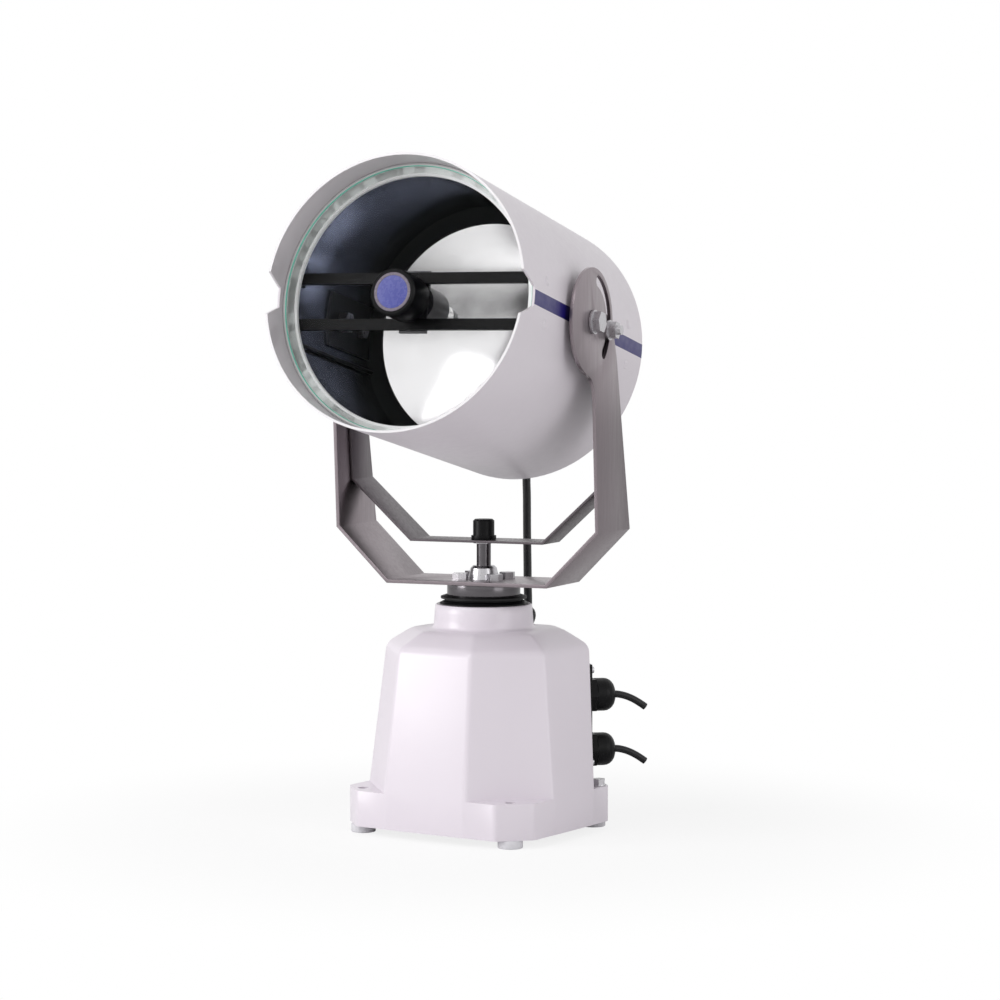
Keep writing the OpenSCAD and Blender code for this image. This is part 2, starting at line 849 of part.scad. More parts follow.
// Shaft, seal hub and polished flange turned in one piece
module rotor_shaft() {
    color("silver") in_head() difference() {
        union() {
            translate([0, 0, gear_z]) cylinder(d = bearing_d, h = rotor_z - gear_z);
            translate([0, 0, neck_z + seal_gap]) cylinder(r = seal_hub_r, h = seal_h + eps);
            translate([0, 0, rotor_z]) cylinder(d = rotor_d, h = rotor_h);
        }
        translate([0, 0, gear_z - 1]) cylinder(r = shaft_bore_r, h = yoke_z - gear_z + 2);
        at_rotor_bolts() translate([0, 0, rotor_z + 2]) cylinder(d = rotor_bolt_d, h = rotor_h);
    }
}

module neck_seal() {
    lip = rotor_d / 2 + 6.5;
    waist = rotor_d / 2 + 1.5;
    flange = rotor_d / 2 + 5.5;
    base = neck_z + seal_gap;
    color("black") in_head() rotate_extrude() polygon([
        [seal_hub_r, base], [lip, base], [lip, base + 0.8], [waist, base + 3.2], [waist, base + 3.6],
        [flange, base + 4.6], [flange, base + 6.2], [waist, base + seal_h], [seal_hub_r, base + seal_h]
    ]);
}

module rod_bushes() {
    color("peru") in_head() for (z = [gear_z, yoke_z - bush_l])
        ring(shaft_bore_r, rod_d / 2 + running, z, bush_l);
}

// Tilt drive in the base

module tilt_motor() {
    color("dimgray") on_pan_axis() translate([-screw_x, 0, plate_z + plate_t]) {
        cylinder(d = motor_d - 3, h = tilt_motor_l - 14);
        translate([0, 0, tilt_motor_l - 14]) cylinder(d = motor_d, h = 14);
    }
}

module lead_screw() {
    bottom = plate_z + plate_t + tilt_motor_l + side_gap;
    color("silver") on_pan_axis() translate([-screw_x, 0, bottom])
        cylinder(d = screw_d, h = drive_plate_z + drive_plate_t - bottom);
}

module guide_post() {
    color("silver") on_pan_axis() translate([screw_x, 0, plate_z + plate_t])
        cylinder(d = screw_d, h = drive_plate_z - plate_z - plate_t);
}

module lift_carriage() {
    color("goldenrod") on_pan_axis() translate([0, 0, carriage_z]) difference() {
        union() {
            translate([-screw_x, -carriage_w / 2, 0]) cube([2 * screw_x, carriage_w, carriage_h]);
            for (x = [-screw_x, 0, screw_x])
                translate([x, 0, 0]) cylinder(r = carriage_w / 2 + 3, h = carriage_h);
        }
        for (x = [-screw_x, screw_x])
            translate([x, 0, -1]) cylinder(d = screw_d + 2 * running, h = carriage_h + 2);
        translate([0, 0, -1]) cylinder(d = rod_d + 2 * running, h = carriage_h + 2);
    }
}

terminal_ways = 5;
terminal_pitch = 8;
terminal_w = terminal_ways * terminal_pitch + 4;
terminal_d = 20;
terminal_h = 18;
terminal_y = front_b - wall - lip_w - terminal_d - 2;

module terminal_block() {
    color("ivory") translate([-terminal_w / 2, terminal_y, plate_z + plate_t]) difference() {
        cube([terminal_w, terminal_d, terminal_h]);
        for (k = [0 : terminal_ways - 1]) translate([2.5 + terminal_pitch * k, -1, 8])
            cube([terminal_pitch - 1, 12, terminal_h]);
    }
}

// Outer yoke

module at_rotor_bolts() {
    for (a = [rotor_bolt_turn, 180 - rotor_bolt_turn, 180 + rotor_bolt_turn, -rotor_bolt_turn])
        rotate([0, 0, a]) translate([rotor_bolt_r, 0, 0]) children();
}

// Front view of a yoke: a bent strip from a flat foot up to two upright arms
module yoke_strip(foot, x_out, z0, knee_z, t, top) {
    // the strip's inner face at a bend of the slope's angle
    slope = atan2(knee_z - z0, x_out - foot);
    low = t * tan(slope / 2);
    high = t * tan((90 - slope) / 2);
    rotate([90, 0, 0]) linear_extrude(2 * drum_d, center = true) polygon([
        [-foot, z0], [foot, z0], [x_out, knee_z], [x_out, top], [x_out - t, top], [x_out - t, knee_z + high],
        [foot - low, z0 + t], [low - foot, z0 + t], [t - x_out, knee_z + high], [t - x_out, top],
        [-x_out, top], [-x_out, knee_z]
    ]);
}

// Side view of the outer arm: a leaning strip that runs into a round head
module arm_outline() {
    fillet_y = arm_front_y - fillet_r;
    fillet_drop = sqrt(pow(arm_head_r + fillet_r, 2) - pow(fillet_y + pivot_ahead, 2));
    translate([-pivot_ahead, pivot_z]) circle(r = arm_head_r);
    difference() {
        polygon([
            [-yoke_front, yoke_z - 1], [yoke_rear, yoke_z - 1], [yoke_rear - 2, yoke_knee_z],
            [arm_rear_y, arm_rear_z], [-pivot_ahead + arm_head_r - 0.5, pivot_z], [-pivot_ahead, pivot_z],
            [fillet_y, pivot_z - arm_head_r + 4], [arm_front_y, pivot_z - fillet_drop],
            [-yoke_front - 1, yoke_knee_z]
        ]);
        translate([fillet_y, pivot_z - fillet_drop]) circle(r = fillet_r);
    }
}

// Arc slot round the pivot, between two angles from level, to the rear
module arc_slot() {
    reach = guide_back + slot_w / 2;
    translate([-pivot_ahead, pivot_z]) {
        intersection() {
            difference() {
                circle(r = reach);
                circle(r = reach - slot_w);
            }
            polygon([
                [0, 0], 3 * guide_back * [cos(slot_down), -sin(slot_down)],
                [3 * guide_back, 0], 3 * guide_back * [cos(slot_up), sin(slot_up)]
            ]);
        }
        for (a = [-slot_down, slot_up]) translate(guide_back * [cos(a), sin(a)]) circle(d = slot_w);
    }
}

module outer_yoke() {
    color("lightslategray") in_head() difference() {
        intersection() {
            yoke_strip(yoke_foot, arm_out, yoke_z, yoke_knee_z, yoke_t, yoke_top_z);
            side_slab(-drum_d, drum_d) arm_outline();
        }
        both_sides() side_slab(arm_x - 1, arm_out + 1) arc_slot();
        translate([-drum_d, -pivot_ahead, pivot_z]) rotate([0, 90, 0])
            cylinder(d = pivot_d + 2 * running, h = 2 * drum_d);
        translate([0, 0, yoke_z - 1]) cylinder(r = rod_d / 2 + 2, h = yoke_t + 2);
        at_rotor_bolts() translate([0, 0, yoke_z - 1]) cylinder(d = rotor_bolt_d + bolt_gap, h = yoke_t + 2);
    }
}

module yoke_bolts() {
    color("silver") in_head() at_rotor_bolts() {
        translate([0, 0, yoke_z - 6]) cylinder(d = rotor_bolt_d - bolt_gap, h = yoke_t + 6 + eps);
        translate([0, 0, yoke_z + yoke_t]) hex_head(12, 5.5);
    }
}

// Tapered nut that guides the rod above the yoke plate
module rod_gland_nut() {
    color("silver") in_head() translate([0, 0, yoke_z + yoke_t]) difference() {
        union() {
            cylinder(d1 = collar_nut_d, d2 = collar_nut_d - 4, h = collar_nut_h - 2);
            translate([0, 0, collar_nut_h - 2]) cylinder(d1 = collar_nut_d - 4, d2 = collar_nut_d - 8, h = 2);
        }
        translate([0, 0, -1]) cylinder(d = rod_d + 2 * running, h = collar_nut_h + 2);
    }
}

// Lift rod and inner yoke

module lift_rod() {
    color("silver") in_head() translate([0, 0, rod_z])
        cylinder(d = rod_d, h = lifter_z + lifter_t + rod_end - rod_z);
}

module rod_collars() {
    low = carriage_z - side_gap - collar_h;
    high = carriage_z + carriage_h + side_gap;
    color("dimgray") in_head() for (z = [low, high]) ring(collar_r, rod_d / 2, z, collar_h);
}

module rod_washer() {
    color("silver") in_head() ring(9, rod_d / 2, lifter_z - rod_washer_t, rod_washer_t);
}

// Side view of the inner arm: a leaning strip with a round end at the guide bolt
module lifter_outline() {
    front = lifter_mid - lifter_w / 2;
    rear = lifter_mid + lifter_w / 2;
    polygon([
        [front, lifter_z - 1], [rear, lifter_z - 1], [rear, lifter_z + lifter_knee],
        [guide_y + lifter_head_r, guide_z], [guide_y - lifter_head_r, guide_z],
        [front, lifter_z + lifter_knee]
    ]);
    translate([guide_y, guide_z]) circle(r = lifter_head_r);
}

// Level slot that lets the guide bolt follow its arc
module guide_slot() {
    half = guide_d / 2 + guide_slack;
    for (y = [guide_y - guide_travel_front, guide_y + guide_travel_back])
        translate([y, guide_z]) circle(r = half);
    translate([guide_y - guide_travel_front, guide_z - half])
        square([guide_travel_front + guide_travel_back, 2 * half]);
}

module inner_yoke() {
    color("lightslategray") in_head() difference() {
        intersection() {
            yoke_strip(
                lifter_foot, lifter_x + lifter_t, lifter_z, lifter_z + lifter_knee, lifter_t,
                guide_z + 2 * lifter_head_r
            );
            side_slab(-drum_d, drum_d) lifter_outline();
        }
        both_sides() side_slab(lifter_x - 1, lifter_x + lifter_t + 1) guide_slot();
        translate([0, 0, lifter_z - 1]) cylinder(d = rod_d, h = lifter_t + 2);
    }
}

module rod_cap() {
    color("black") in_head() translate([0, 0, lifter_z + lifter_t]) difference() {
        union() {
            cylinder(d = cap_rim_d, h = 3.5);
            cylinder(d = cap_d, h = cap_h - 1.5);
            translate([0, 0, cap_h - 1.5]) cylinder(d1 = cap_d, d2 = cap_d - 3, h = 1.5);
        }
        translate([0, 0, -1]) cylinder(d = rod_d, h = rod_end + 1);
    }
}

// Lamp drum

module side_hole(z, d) {
    translate([-2 * drum_r, 0, z]) rotate([0, 90, 0]) cylinder(d = d, h = 4 * drum_r);
}

// Bevelled finger notches in the hood, at both sides
module hood_notch() {
    floor_z = drum_front - notch_deep;
    rotate([90, 0, 90]) linear_extrude(4 * drum_r, center = true) polygon([
        [-notch_floor / 2, floor_z], [notch_floor / 2, floor_z],
        [notch_mouth / 2, drum_front + 1], [-notch_mouth / 2, drum_front + 1]
    ]);
}

module at_rivets() {
    for (z = [rivet_front, rivet_back], y = [-rivet_y, rivet_y])
        translate([0, 0, z]) rotate([0, 0, asin(y / drum_r)]) rotate([0, 90, 0]) children();
}

module drum_shell() {
    color("lavender") in_drum() difference() {
        ring(drum_r, inner_r, -drum_back, drum_front + drum_back);
        hood_notch();
        side_hole(0, pivot_d);
        side_hole(-guide_back, guide_d);
        both_sides() at_rivets() cylinder(d = rivet_d, h = 2 * drum_r);
    }
}

module glass_seat() {
    color("white") in_drum() ring(inner_r, seat_r, seat_z, seat_t);
}

module glass_seal() {
    color("darkgray") in_drum() ring(glass_r, seat_r + 2, seat_z + seat_t, seal_t);
}

module front_glass() {
    color("lightcyan") in_drum() ring(glass_r, hub_hole_r, glass_z, glass_t);
}

// Open spring ring that holds the glass on its seat
module glass_retainer() {
    gap = 12;
    color("silver") in_drum() translate([0, 0, glass_z + glass_t + retainer_d / 2])
        rotate([0, 0, gap / 2 - 90]) rotate_extrude(angle = 360 - gap)
            translate([inner_r - retainer_d / 2, 0]) circle(d = retainer_d, $fn = 24);
}

bar_reach = sqrt(pow(inner_r - 0.4, 2) - pow(bar_pitch / 2 + bar_h / 2, 2));

module lamp_bars() {
    color("black") in_drum() difference() {
        for (y = [-1, 1]) translate([0, y * bar_pitch / 2, bar_z]) {
            translate([-bar_reach, -bar_h / 2, 0]) cube([2 * bar_reach, bar_h, bar_t]);
            for (x = [-bar_reach, bar_reach - bar_tab_t])
                translate([x, -bar_h / 2, bar_t - bar_tab]) cube([bar_tab_t, bar_h, bar_tab]);
        }
        both_sides() at_rivets() cylinder(d = rivet_d, h = 2 * drum_r);
    }
}

// Lamp socket: a cross plate behind the bars, a stem through the glass and the lamp's grip
module lamp_socket() {
    plate_h = bar_pitch + bar_h + 4;
    color("dimgray") in_drum() {
        translate([-socket_plate_w / 2, -plate_h / 2, bar_z - socket_plate_t])
            cube([socket_plate_w, plate_h, socket_plate_t]);
        translate([0, 0, bar_z - socket_l]) cylinder(d = socket_d, h = socket_l - 2);
        translate([0, 0, bar_z - socket_plate_t])
            cylinder(r = hub_hole_r - 0.5, h = hub_z + 6 - bar_z + socket_plate_t);
    }
}

module lamp() {
    color("lightyellow") in_drum() translate([0, 0, bar_z - socket_l]) rotate([180, 0, 0]) {
        cylinder(d = lamp_d - 5, h = 6);
        translate([0, 0, 6 - eps]) cylinder(d = lamp_d, h = lamp_l - 6 - lamp_d / 2);
        translate([0, 0, lamp_l - lamp_d / 2 - eps]) sphere(d = lamp_d);
    }
}

module hub_seal() {
    color("black") in_drum() ring(hub_d / 2 - 1, hub_hole_r - 0.5, glass_z + glass_t, seal_t);
}

module lamp_hub() {
    color("black") in_drum() translate([0, 0, hub_z]) difference() {
        union() {
            cylinder(d = hub_d, h = hub_l - 1.5);
            translate([0, 0, hub_l - 1.5]) cylinder(d1 = hub_d, d2 = hub_d - 3, h = 1.5);
        }
        translate([0, 0, -1]) cylinder(r = hub_hole_r - 0.5, h = 7);
        translate([0, 0, hub_l - badge_t]) cylinder(d = badge_d, h = badge_t + 1);
    }
}

module hub_badge() {
    color("royalblue") in_drum() translate([0, 0, drum_front - badge_t]) cylinder(d = badge_d, h = badge_t);
}

// Depth of the mirror above its vertex
function mirror_z(r) = reflector_vertex + r * r / (4 * focal);

module reflector() {
    radii = [for (k = [1 : reflector_steps]) reflector_r * k / reflector_steps];
    middle = mirror_z(radii[0]);
    front = [for (r = radii) [r, mirror_z(r)]];
    back = [for (k = [reflector_steps - 1 : -1 : 0]) [radii[k], mirror_z(radii[k]) - reflector_t]];
    color("gainsboro") in_drum() rotate_extrude()
        polygon(concat([[0, middle]], front, back, [[0, middle - reflector_t]]));
}

module reflector_ring() {
    color("black") in_drum() ring(inner_r, reflector_r - 2, reflector_z, ring_t);
}

// Part of the drum's inner wall, as tall as given, on both sides
module wall_strip(r, t, h, z0, z1) {
    both_sides() intersection() {
        ring(r, r - t, z0, z1 - z0);
        translate([r / 2, -h / 2, z0 - 1]) cube([r, h, z1 - z0 + 2]);
    }
}

module reflector_brackets() {
    color("dimgray") in_drum() difference() {
        wall_strip(inner_r, bracket_t, bracket_w, -bracket_back, reflector_z);
        both_sides() at_rivets() cylinder(d = rivet_d, h = 2 * drum_r);
    }
}

module backing_plates() {
    color("dimgray") in_drum() difference() {
        wall_strip(inner_r, backing_t, backing_h, -backing_back, backing_front);
        side_hole(0, pivot_d);
        side_hole(-guide_back, guide_d);
    }
}

module drum_rivets() {
    color("silver") in_drum() both_sides() at_rivets() {
        translate([0, 0, inner_r - rivet_grip]) cylinder(d = rivet_d, h = drum_t + rivet_grip);
        translate([0, 0, drum_r]) cylinder(d1 = rivet_head_d, d2 = rivet_head_d - 4, h = rivet_head_h);
    }
}

module rear_ring() {
    color("lavender") in_drum() difference() {
        ring(inner_r, inner_r - rear_ring_w, cover_flange_t - drum_back, rear_ring_t);
        at_cover_screws() translate([0, 0, -drum_back]) cylinder(d = small_screw_d, h = 20);
    }
}

module at_cover_screws() {
    for (k = [0 : cover_screws - 1]) rotate([0, 0, 30 + 360 * k / cover_screws])
        translate([cover_screw_r, 0, 0]) children();
}

// Spun rear cover: a flange inside the drum and a raised, rounded pan behind it
module rear_cover() {
    back = -drum_back - cover_h;
    round_r = 10;
    outer = [
        for (a = [0 : 15 : 90]) [
            cover_r - round_r + round_r * cos(a), back + round_r - round_r * sin(a)
        ]
    ];
    inner = [
        for (a = [90 : -15 : 0]) [
            cover_r - round_r + (round_r - cover_t) * cos(a), back + round_r - (round_r - cover_t) * sin(a)
        ]
    ];
    color("lavender") in_drum() difference() {
        rotate_extrude() polygon(concat(
            [[inner_r - 0.3, cover_flange_t - drum_back], [inner_r - 0.3, -drum_back], [cover_r, -drum_back]],
            outer, [[0, back], [0, back + cover_t]], inner, [[cover_r - cover_t, cover_flange_t - drum_back]]
        ));
        at_cover_screws() translate([0, 0, -drum_back - 1]) cylinder(d = small_screw_d + bolt_gap, h = 10);
        on_head_gland() translate([0, 0, -20]) cylinder(d = entry_thread_d, h = 30);
    }
}

module rear_cover_screws() {
    color("silver") in_drum() at_cover_screws() translate([0, 0, -drum_back])
        pan_screw(cover_flange_t + rear_ring_t + 2);
}

// Frame of the drum's gland: z out of the back of the rear cover
module on_head_gland() {
    translate([head_gland_x, head_gland_y, -drum_back - cover_h]) rotate([180, 0, 0]) children();
}

module head_gland() {
    color("black") in_drum() on_head_gland() {
        gland_body(entry_d, entry_hex_h, entry_thread_d, 8, cable_bore);
        translate([0, 0, entry_hex_h]) gland_dome(entry_d + 1.5, entry_dome_h, cable_bore);
    }
}

// Frame of a side bolt: z out of the drum's wall
module on_drum_side(z) {
    translate([0, 0, z]) rotate([0, 90, 0]) children();
}

module pivot_bolts() {
    color("silver") in_drum() both_sides() {
        on_drum_side(0) translate([0, 0, inner_r - backing_t - pivot_nut_h])
            cylinder(d = pivot_d, h = arm_out + pivot_nut_h - inner_r + backing_t);
        on_drum_side(0) translate([0, 0, arm_out + side_gap]) {
            cylinder(d = 20, h = 2);
            translate([0, 0, 2]) hex_head(16, 6.5);
        }
        on_drum_side(0) translate([0, 0, inner_r - backing_t - pivot_nut_h - 0.5]) hex_head(16, pivot_nut_h);
    }
}

// Saddle spacers between the drum's round wall and the outer arms
module pivot_spacers() {
    color("silver") in_drum() both_sides() difference() {
        on_drum_side(0) cylinder(r = spacer_r, h = arm_x - side_gap);
        translate([0, 0, -2 * spacer_r]) cylinder(r = drum_r, h = 4 * spacer_r);
        side_hole(0, pivot_d);
    }
}

module guide_bolts() {
    color("silver") in_drum() both_sides() {
        on_drum_side(-guide_back) translate([0, 0, inner_r - backing_t - 7])
            cylinder(d = guide_d, h = arm_out + 12 - inner_r + backing_t + 7);
        on_drum_side(-guide_back) translate([0, 0, arm_out + side_gap]) {
            cylinder(d = 17, h = 1.6);
            translate([0, 0, 1.6]) hex_head(13, 6.5);
        }
        on_drum_side(-guide_back) translate([0, 0, inner_r - backing_t - 6]) hex_head(13, 5.5);
    }
}

module entry_cable() {
    color("black") tube(entry_route, cable_d);
}

module head_cable() {
    color("black") tube(head_route, cable_d);
}

base_housing();
mounting_feet();
bottom_gasket();
bottom_cover();
bottom_screws();
gland_plate();
gland_plate_screws();
gland_bodies();
gland_nuts();
supply_cable();
control_cable();
entry_gland();
earth_stud();
neck_bearings();
drive_plate();
drive_plate_screws();
pan_motor();
tilt_motor();
guide_post();
terminal_block();
pan_pinion();
lead_screw();
lift_carriage();
rotor_shaft();
neck_seal();
pan_gear();
rod_bushes();
outer_yoke();
yoke_bolts();
rod_gland_nut();
lift_rod();
rod_collars();
rod_washer();
inner_yoke();
rod_cap();
drum_shell();
glass_seat();
glass_seal();
front_glass();
glass_retainer();
lamp_bars();
lamp_socket();
lamp();
hub_seal();
lamp_hub();
hub_badge();
reflector();
reflector_ring();
reflector_brackets();
backing_plates();
drum_rivets();
rear_ring();
rear_cover();
rear_cover_screws();
pivot_bolts();
pivot_spacers();
guide_bolts();
head_gland();
entry_cable();
head_cable();
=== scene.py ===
"""Looks of the searchlight: finishes for its CAD pieces, its cables, and a plain pale studio."""

import json
import math

import bmesh
import bpy
from mathutils import Euler, Matrix, Vector


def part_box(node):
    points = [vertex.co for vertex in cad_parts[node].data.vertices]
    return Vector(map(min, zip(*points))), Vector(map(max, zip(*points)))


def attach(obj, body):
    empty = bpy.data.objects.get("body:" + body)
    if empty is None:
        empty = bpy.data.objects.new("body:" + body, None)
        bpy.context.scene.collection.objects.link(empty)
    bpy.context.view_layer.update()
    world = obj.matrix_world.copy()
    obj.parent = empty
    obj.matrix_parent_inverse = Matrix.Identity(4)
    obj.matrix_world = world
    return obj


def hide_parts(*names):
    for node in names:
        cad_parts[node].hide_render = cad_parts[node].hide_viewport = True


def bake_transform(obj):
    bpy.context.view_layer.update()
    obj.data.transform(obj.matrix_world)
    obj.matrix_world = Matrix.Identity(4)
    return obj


MM = 0.001

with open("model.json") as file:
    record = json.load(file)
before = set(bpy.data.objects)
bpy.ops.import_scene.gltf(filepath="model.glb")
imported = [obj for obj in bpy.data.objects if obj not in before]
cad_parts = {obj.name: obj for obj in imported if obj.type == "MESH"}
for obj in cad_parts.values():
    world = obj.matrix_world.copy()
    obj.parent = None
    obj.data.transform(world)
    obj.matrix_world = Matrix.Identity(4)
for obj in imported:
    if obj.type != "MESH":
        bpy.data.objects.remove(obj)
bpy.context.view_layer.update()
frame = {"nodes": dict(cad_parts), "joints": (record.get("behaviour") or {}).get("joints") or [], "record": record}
nodes = frame["nodes"]
joints = {joint["name"]: joint for joint in frame["joints"]}

# Rest angles of the head and the places of its two axes
REST_PAN = math.radians(10)
REST_TILT = math.radians(10.4)
PAN_AXIS = Vector(joints["pan"]["pos_m"])
PIVOT = Vector(joints["tilt"]["pos_m"])
OPTICAL_TURN = (math.radians(90) - REST_TILT, 0, REST_PAN)
IN_DRUM = Matrix.Translation(PIVOT) @ Euler(OPTICAL_TURN).to_matrix().to_4x4()

# Sizes along and across the drum's own axis
DRUM_INSIDE = 112 * MM
DRUM_FRONT = 132 * MM
DRUM_BACK = -137 * MM
SKIN_FROM = DRUM_INSIDE + 0.7 * MM
RIM_FROM = DRUM_FRONT - 0.4 * MM
COVER_TO = DRUM_BACK + 0.5 * MM
GLASS_BACK = 97 * MM
HOOD_FROM = GLASS_BACK - 1 * MM
GLASS_FRONT = 102 * MM
GLASS_RADIUS = 111.7 * MM
GLASS_GROUND_EDGE = 0.8 * MM
GLASS_GREEN_CORNER = 1.2 * MM
RETAINER_LINE = 109.6 * MM
STRIPE_FRONT = 109 * MM
STRIPE_HALF = 6 * MM
DISC_RADIUS = 16 * MM
DISC_FIELD = DISC_RADIUS - 2.6 * MM
DISC_GAP = 0.1 * MM
DISC_THICKNESS = 1 * MM
DISC_RIM_RISE = 0.4 * MM
DISC_DOME = 0.5 * MM
DISC_DOME_STEPS = 8
REFLECTOR_RADIUS = 99 * MM
REFLECTOR_RIM = -58 * MM
REFLECTOR_FOCUS = 115 * MM
REFLECTOR_SHEET = 1.5 * MM
REFLECTOR_STEPS = 40
TURN_STEPS = 128

# Angles and distances that tell one surface from the next
SMOOTH_ANGLE = math.radians(35)
BROKEN_ANGLE = math.radians(30)
CASTING_ANGLE = math.radians(40)
STRIP_ANGLE = math.radians(60)
FLAT_ANGLE = math.radians(0.4)
SAME_POINT = 0.004 * MM
SAME_CORNER = 0.002 * MM
SAME_TURNED_POINT = 0.01 * MM


def add_object(name, data):
    piece = bpy.data.objects.new(name, data)
    bpy.context.scene.collection.objects.link(piece)
    return piece


# Camera

CAMERA_DISTANCE = 2.503
CAMERA_HEIGHT = 0.42125
CAMERA_ROUND = math.radians(33.54)
CAMERA_YAW = math.radians(0.32)
CAMERA_DOWN = math.radians(3.16)
CAMERA_LENS = 105.1


def place_camera():
    data = bpy.data.cameras.new("photo_camera")
    data.sensor_width = 36
    data.lens = CAMERA_LENS
    data.clip_end = 50
    camera = add_object("photo_camera", data)
    camera.location = (
        CAMERA_DISTANCE * math.sin(CAMERA_ROUND),
        PAN_AXIS.y - CAMERA_DISTANCE * math.cos(CAMERA_ROUND),
        CAMERA_HEIGHT,
    )
    camera.rotation_euler = (math.radians(90) - CAMERA_DOWN, 0, CAMERA_ROUND - CAMERA_YAW)
    bpy.context.scene.camera = camera


place_camera()


# Node helpers for the finishes


class Finish:
    """A material around one Principled shader, with the patterns its pieces need."""

    def __init__(self, name, colour, roughness, metallic=0.0, specular=0.5):
        self.material = bpy.data.materials.new(name)
        self.material.use_nodes = True
        self.tree = self.material.node_tree
        self.shader = self.tree.nodes["Principled BSDF"]
        self.shader.inputs["Base Color"].default_value = (*colour, 1)
        self.shader.inputs["Roughness"].default_value = roughness
        self.shader.inputs["Metallic"].default_value = metallic
        self.shader.inputs["Specular IOR Level"].default_value = specular
        self.place = self.add("ShaderNodeTexCoord").outputs["Object"]

    def add(self, kind, **settings):
        node = self.tree.nodes.new(kind)
        for key, value in settings.items():
            setattr(node, key, value)
        return node

    def put(self, socket, value):
        if hasattr(value, "is_linked"):
            self.tree.links.new(value, socket)
        else:
            socket.default_value = value

    def math(self, operation, first, second=0.0):
        node = self.add("ShaderNodeMath", operation=operation)
        self.put(node.inputs[0], first)
        self.put(node.inputs[1], second)
        return node.outputs[0]

    def stretch(self, scale):
        """Object coordinates with the pattern drawn out along an axis."""
        node = self.add("ShaderNodeMapping")
        self.put(node.inputs["Vector"], self.place)
        node.inputs["Scale"].default_value = scale
        return node.outputs[0]

    def noise(self, scale, detail=3.0, roughness=0.5, place=None):
        node = self.add("ShaderNodeTexNoise")
        self.put(node.inputs["Vector"], place or self.place)
        node.inputs["Scale"].default_value = scale
        node.inputs["Detail"].default_value = detail
        node.inputs["Roughness"].default_value = roughness
        return node.outputs["Fac"]

    def remap(self, value, low, high, to_low, to_high):
        node = self.add("ShaderNodeMapRange")
        self.put(node.inputs["Value"], value)
        node.inputs["From Min"].default_value = low
        node.inputs["From Max"].default_value = high
        node.inputs["To Min"].default_value = to_low
        node.inputs["To Max"].default_value = to_high
        return node.outputs["Result"]

    def mix(self, share, first, second):
        """Colour between two colours."""
        node = self.add("ShaderNodeMix", data_type="RGBA")
        self.put(node.inputs["Factor"], share)
        colours = [s for s in node.inputs if s.type == "RGBA"]
        for socket, value in zip(colours, (first, second)):
            self.put(socket, value if hasattr(value, "is_linked") else (*value, 1))
        return [s for s in node.outputs if s.type == "RGBA"][0]

    def colour(self, value):
        self.put(self.shader.inputs["Base Color"], value)

    def roughness(self, value):
        self.put(self.shader.inputs["Roughness"], value)

    def bump(self, height, strength, distance):
        node = self.add("ShaderNodeBump")
        node.inputs["Strength"].default_value = strength
        node.inputs["Distance"].default_value = distance
        self.put(node.inputs["Height"], height)
        self.put(self.shader.inputs["Normal"], node.outputs["Normal"])

    def optical(self):
        """Place in the drum, with y up and z along the beam, and the distance from its axis."""
        node = self.add("ShaderNodeMapping", vector_type="TEXTURE")
        self.put(node.inputs["Vector"], self.place)
        node.inputs["Location"].default_value = PIVOT
        node.inputs["Rotation"].default_value = OPTICAL_TURN
        parts = self.add("ShaderNodeSeparateXYZ")
        self.put(parts.inputs[0], node.outputs[0])
        x, y, z = parts.outputs
        squares = self.math("ADD", self.math("MULTIPLY", x, x), self.math("MULTIPLY", y, y))
        return y, z, self.math("SQRT", squares)


def scaled(colour, factor):
    return tuple(c * factor for c in colour)


def sprayed(name, colour, roughness, peel):
    """Sprayed enamel: even colour, faint drift, and the skin's slight peel."""
    finish = Finish(name, colour, roughness)
    drift = finish.noise(9, 4)
    finish.colour(finish.mix(drift, scaled(colour, 0.975), scaled(colour, 1.015)))
    finish.roughness(finish.remap(finish.noise(24, 2), 0.3, 0.7, roughness * 0.92, roughness * 1.1))
    finish.bump(finish.noise(240, 1), peel, 0.0002)
    return finish


def moulded(name, colour, roughness, grain, specular=0.5):
    """Moulded plastic or rubber with a fine grain."""
    finish = Finish(name, colour, roughness, specular=specular)
    finish.colour(finish.mix(finish.noise(60, 4), scaled(colour, 0.8), scaled(colour, 1.35)))
    finish.roughness(finish.remap(finish.noise(300, 3), 0.3, 0.7, roughness * 0.85, roughness * 1.15))
    finish.bump(finish.noise(1400, 2), grain, 0.0003)
    return finish


def brushed(name, colour, roughness, grain, lines=0.2):
    """Sheet or bar metal with drawn grain along its own length."""
    finish = Finish(name, colour, roughness, metallic=1.0)
    drawn = finish.noise(1.0, 4, 0.6, finish.stretch(grain))
    blotch = finish.noise(22, 4)
    finish.colour(finish.mix(blotch, scaled(colour, 0.9), scaled(colour, 1.08)))
    finish.roughness(finish.remap(drawn, 0.25, 0.75, roughness * 0.75, roughness * 1.3))
    finish.bump(drawn, lines, 0.00012)
    return finish


